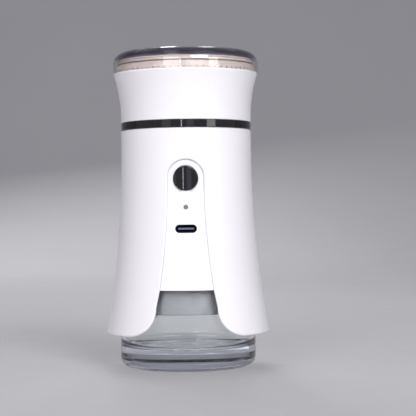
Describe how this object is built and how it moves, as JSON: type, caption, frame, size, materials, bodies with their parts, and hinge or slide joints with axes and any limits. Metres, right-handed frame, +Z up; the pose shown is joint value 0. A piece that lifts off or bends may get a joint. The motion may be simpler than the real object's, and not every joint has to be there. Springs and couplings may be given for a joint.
{
  "type": "electric herb grinder",
  "caption": "Rechargeable upright grinder: clear cap over a metal grinding head, waisted white body with a front button panel, and a glass catch jar between two flared legs.",
  "frame": {"origin": "centre of the jar's foot, on the surface the grinder stands on", "axes": "+Z up the grinder's axis; the button panel faces -Y; +X to the right when facing the panel"},
  "size_m": [0.0718, 0.0652, 0.1398],
  "materials": {
    "clear_glass": "clear, polished",
    "smoked_plastic": "clear with a smoke tint, polished",
    "frosted_plastic": "translucent",
    "white_plastic": "satin to semi-gloss",
    "black_gloss": "high gloss",
    "grey_plastic": "fine matt",
    "dark_plastic": "matt",
    "gear_plastic": "satin",
    "champagne_metal": "anodised, satin",
    "cup_metal": "machined",
    "steel": "machined",
    "black_metal": "black plated, satin",
    "tongue_plastic": "moulded",
    "bronze": "sintered",
    "magnet_nickel": "nickel plated",
    "board_green": "solder mask",
    "cell_wrap": "shrink sleeve over a metal can",
    "lead_red": "satin",
    "lead_black": "satin",
    "silicone": "soft matt"
  },
  "bodies": {
    "jar": {"jar_glass": "clear_glass"},
    "housing": {"lower_housing": "white_plastic", "front_panel": "white_plastic", "rear_panel": "white_plastic", "waist_ring": "black_gloss", "button_spring": "steel", "tact_switch": "dark_plastic", "light_pipe": "frosted_plastic", "indicator_led": "frosted_plastic", "usb_shell": "black_metal", "usb_tongue": "tongue_plastic", "main_board": "board_green", "board_parts": "dark_plastic", "board_screws": "steel", "battery_cells": "cell_wrap", "battery_tabs": "steel", "motor_leads": "lead_red", "battery_leads": "lead_black", "chassis": "dark_plastic", "chute_duct": "grey_plastic", "lower_deck": "grey_plastic", "lower_deck_screws": "steel", "upper_deck": "grey_plastic", "upper_deck_screws": "steel", "body_magnets": "magnet_nickel", "outlet_skirt": "grey_plastic", "jar_seal": "silicone", "rim_gasket": "silicone", "motor_can": "steel", "motor_cap": "dark_plastic", "gearbox_case": "dark_plastic", "gearbox_screws": "steel", "output_bush": "bronze"},
    "button": {"button_cap": "black_gloss"},
    "motor_rotor": {"motor_shaft": "steel", "sun_gear": "steel"},
    "carrier": {"planet_carrier": "steel"},
    "planet_1": {"planet_gear_1": "gear_plastic"},
    "planet_2": {"planet_gear_2": "gear_plastic"},
    "planet_3": {"planet_gear_3": "gear_plastic"},
    "head": {"upper_housing": "white_plastic", "head_base": "grey_plastic", "head_magnets": "magnet_nickel", "rotor_bearing": "steel", "shaft_seal": "silicone", "sieve_plate": "steel", "grinding_cup": "cup_metal", "chamber_ring": "champagne_metal"},
    "rotor": {"rotor_shaft": "steel", "sweeper": "grey_plastic", "blade_rotor": "steel", "rotor_nut": "steel"},
    "cap": {"lid_ring": "champagne_metal", "lid_seal": "silicone", "cap_lens": "smoked_plastic"}
  },
  "joints": [
    {"name": "housing_lift", "type": "slide", "parent": "jar", "child": "housing", "axis": [0, 0, 1], "range_m": [0, 0.045]},
    {"name": "head_lift", "type": "slide", "parent": "housing", "child": "head", "axis": [0, 0, 1], "range_m": [0, 0.045]},
    {"name": "cap_lift", "type": "slide", "parent": "head", "child": "cap", "axis": [0, 0, 1], "range_m": [0, 0.03]},
    {"name": "button_press", "type": "slide", "parent": "housing", "child": "button", "axis": [0, 1, 0], "range_m": [0, 0.0008], "stiffness_N_per_m": 1500},
    {"name": "rotor_spin", "type": "hinge", "parent": "head", "child": "rotor", "pos_m": [0, 0, 0.11], "axis": [0, 0, 1], "continuous": true},
    {"name": "carrier_spin", "type": "hinge", "parent": "housing", "child": "carrier", "pos_m": [0, 0, 0.09], "axis": [0, 0, 1], "continuous": true},
    {"name": "motor_spin", "type": "hinge", "parent": "housing", "child": "motor_rotor", "pos_m": [0, 0, 0.07], "axis": [0, 0, 1], "continuous": true},
    {"name": "planet_1_spin", "type": "hinge", "parent": "carrier", "child": "planet_1", "pos_m": [0, 0.006, 0.085], "axis": [0, 0, 1], "continuous": true},
    {"name": "planet_2_spin", "type": "hinge", "parent": "carrier", "child": "planet_2", "pos_m": [-0.0052, -0.003, 0.085], "axis": [0, 0, 1], "continuous": true},
    {"name": "planet_3_spin", "type": "hinge", "parent": "carrier", "child": "planet_3", "pos_m": [0.0052, -0.003, 0.085], "axis": [0, 0, 1], "continuous": true}
  ],
  "couplings": [
    {"joint": "carrier_spin", "follows": "rotor_spin", "ratio": 1},
    {"joint": "motor_spin", "follows": "rotor_spin", "ratio": 5},
    {"joint": "planet_1_spin", "follows": "rotor_spin", "ratio": -2.6667},
    {"joint": "planet_2_spin", "follows": "rotor_spin", "ratio": -2.6667},
    {"joint": "planet_3_spin", "follows": "rotor_spin", "ratio": -2.6667}
  ]
}
